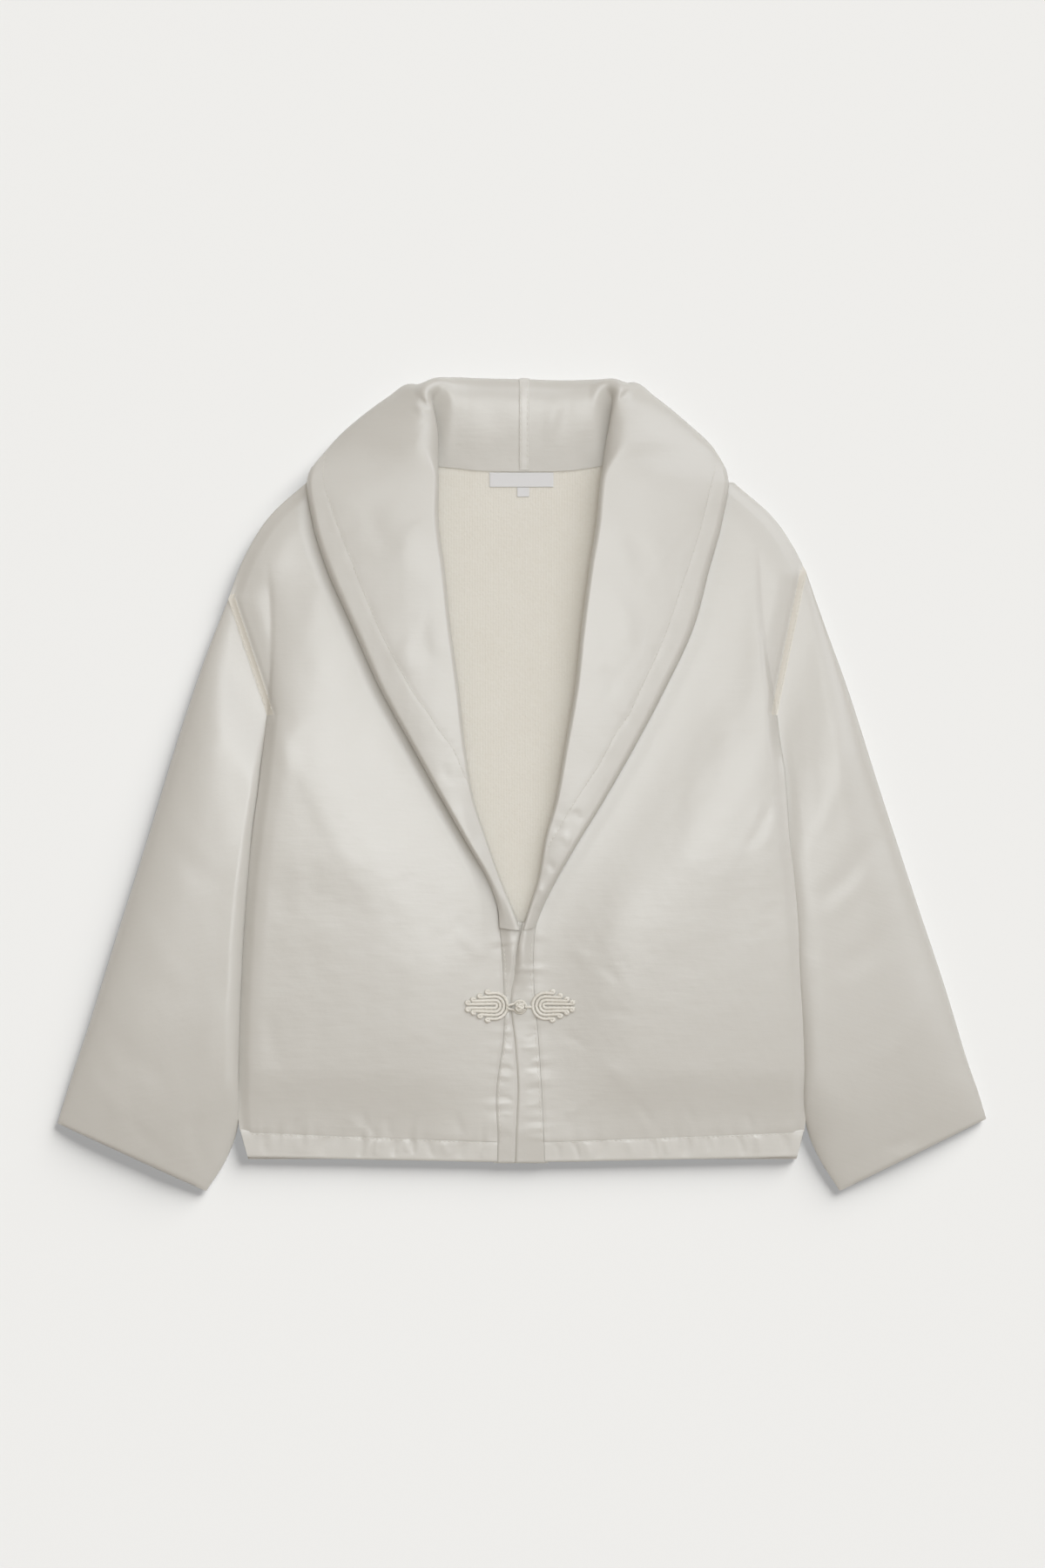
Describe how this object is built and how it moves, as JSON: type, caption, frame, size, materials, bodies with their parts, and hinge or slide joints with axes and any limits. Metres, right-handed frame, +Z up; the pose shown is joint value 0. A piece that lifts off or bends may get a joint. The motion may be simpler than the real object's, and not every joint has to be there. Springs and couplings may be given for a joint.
{
  "type": "silk jacket laid flat",
  "caption": "Boxy padded silk jacket with a wide shawl collar, drop-shoulder sleeves and a corded frog closure, lying flat and face up.",
  "frame": {"origin": "on the surface it lies on, under the middle of its outline", "axes": "+Z up off the surface, +Y from hem to collar, +X to the wearer's left"},
  "size_m": [0.8532, 0.7452, 0.0362],
  "materials": {
    "silk": "ivory silk satin",
    "lining": "cream brushed knit",
    "cord": "ivory satin cord",
    "label": "plain white woven satin"
  },
  "bodies": {
    "root": {"back_panel": "silk", "back_lining": "lining", "front_right": "silk", "front_left": "silk", "hem_band_right": "silk", "hem_band_left": "silk", "front_band_right": "silk", "front_band_left": "silk", "sleeve_right": "silk", "sleeve_left": "silk", "collar_right": "silk", "collar_left": "silk", "collar_tape": "silk", "frog_pad_right": "cord", "frog_pad_left": "cord", "frog_loop": "cord", "frog_stem": "cord", "frog_knot": "cord", "neck_label": "label", "size_tab": "label"}
  },
  "joints": []
}
